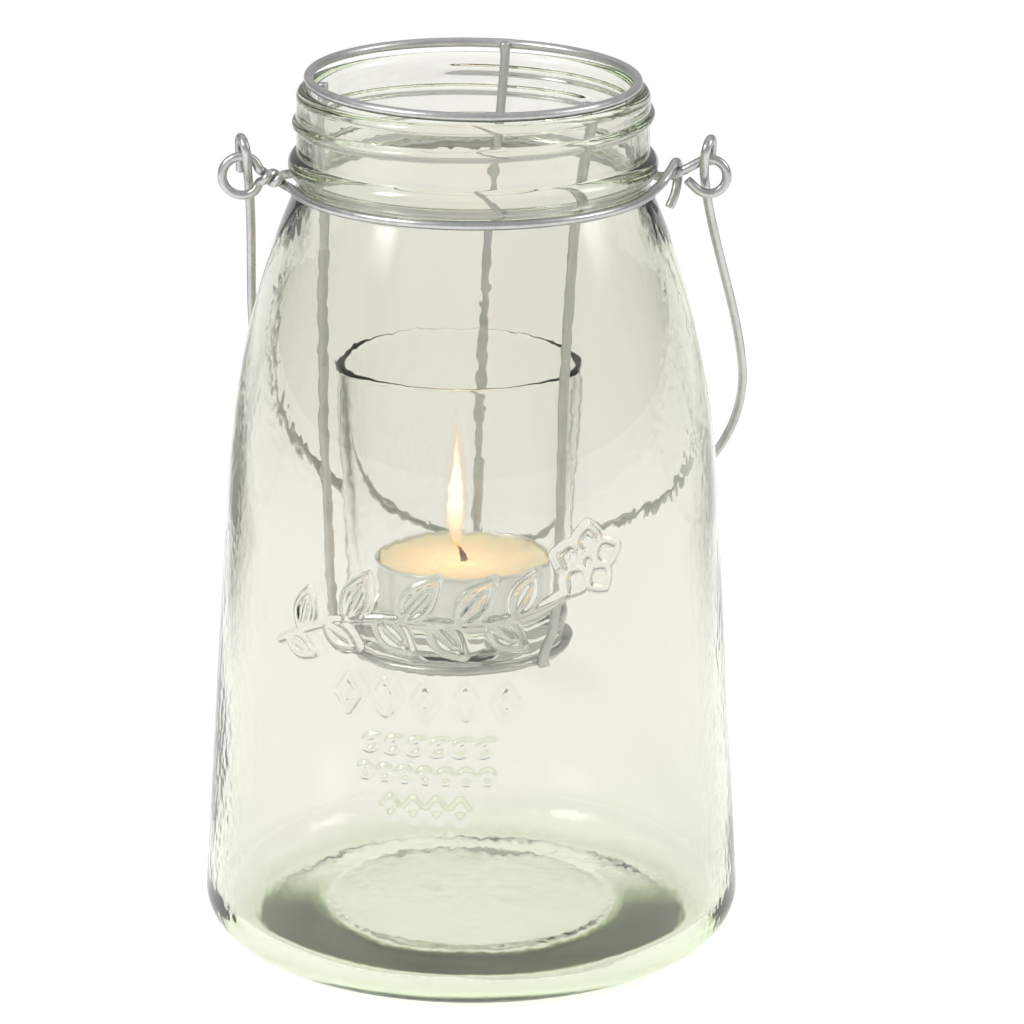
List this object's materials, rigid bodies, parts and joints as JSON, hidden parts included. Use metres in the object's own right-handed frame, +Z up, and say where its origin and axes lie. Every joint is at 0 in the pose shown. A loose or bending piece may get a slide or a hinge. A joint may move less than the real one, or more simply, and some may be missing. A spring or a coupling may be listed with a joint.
{
  "type": "mason jar lantern",
  "caption": "Glass screw-neck jar lantern with a wire collar, a swinging wire bail, and a lift-out wire hanger that holds a tealight in a votive glass.",
  "frame": {"origin": "centre of the jar's base plane, on the jar's axis", "axes": "+Z up along the jar's axis through the mouth; -Y is the decorated front, the bail hangs behind at +Y; +X runs to the collar's open eye and hook"},
  "size_m": [0.1203, 0.1182, 0.1929],
  "materials": {
    "jar_glass": "pressed glass, pale green, slightly wavy inside",
    "wire": "dull galvanised steel wire",
    "votive_glass": "clear pressed glass with a thick base",
    "cup_metal": "thin pressed aluminium",
    "wax": "warm cream wax, lit from above by the flame",
    "wick": "charred braided cotton",
    "sustainer_metal": "tinned steel"
  },
  "bodies": {
    "jar": {"glass_jar": "jar_glass"},
    "collar": {"neck_wire": "wire"},
    "bail": {"bail_handle": "wire"},
    "hanger": {"hanger_top_ring": "wire", "hanger_base_ring": "wire", "hanger_leg_left": "wire", "hanger_leg_right": "wire", "hanger_leg_back": "wire"},
    "votive": {"votive_glass": "votive_glass"},
    "tealight": {"tealight_cup": "cup_metal", "candle_wax": "wax", "candle_wick": "wick", "wick_sustainer": "sustainer_metal"}
  },
  "joints": [
    {"name": "collar_turn", "type": "hinge", "parent": "jar", "child": "collar", "pos_m": [0, 0, 0.1687], "axis": [0, 0, 1], "continuous": true},
    {"name": "bail_swing", "type": "hinge", "parent": "collar", "child": "bail", "pos_m": [0, 0, 0.17395], "axis": [1, 0, 0], "range_deg": [0, 298]},
    {"name": "hanger_lift", "type": "slide", "parent": "jar", "child": "hanger", "axis": [0, 0, 1], "range_m": [0, 0.15]},
    {"name": "votive_lift", "type": "slide", "parent": "hanger", "child": "votive", "axis": [0, 0, 1], "range_m": [0, 0.135]},
    {"name": "tealight_lift", "type": "slide", "parent": "votive", "child": "tealight", "axis": [0, 0, 1], "range_m": [0, 0.13]}
  ]
}
